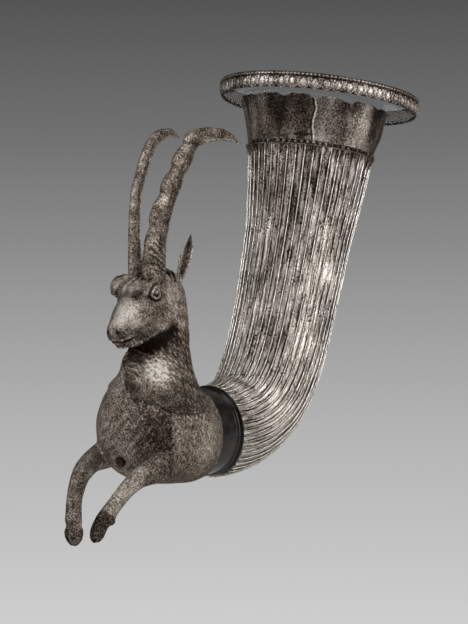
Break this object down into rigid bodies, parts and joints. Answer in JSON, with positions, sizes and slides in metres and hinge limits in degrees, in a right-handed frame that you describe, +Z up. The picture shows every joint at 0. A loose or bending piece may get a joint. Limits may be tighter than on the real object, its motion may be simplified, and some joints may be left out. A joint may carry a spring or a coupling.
{
  "type": "rhyton drinking horn with animal forepart",
  "caption": "Silver rhyton: fluted curved drinking horn with a loose mouth ring on a clear former and a kneeling goat forepart with a pouring spout.",
  "frame": {"origin": "centre of the mouth ring, at half its height on its own axis", "axes": "+Z up with the cup held as on its display mount, -Y the way the animal faces, +X the animal's left side; the mouth leans 10.3 degrees back from +Z"},
  "size_m": [0.1298, 0.2948, 0.2798],
  "materials": {
    "silver": "tarnished silver, satin where rubbed",
    "collar": "near-black, polished",
    "former": "clear acrylic"
  },
  "bodies": {
    "root": {"fluted_horn": "silver", "cup_neck": "silver", "bead_band": "silver", "mouth_ring": "silver", "neck_former": "former", "joint_collar": "collar", "animal_body": "silver", "animal_head": "silver", "left_foreleg": "silver", "right_foreleg": "silver", "left_horn": "silver", "right_horn": "silver", "left_ear": "silver", "right_ear": "silver", "spout": "silver"}
  },
  "joints": []
}
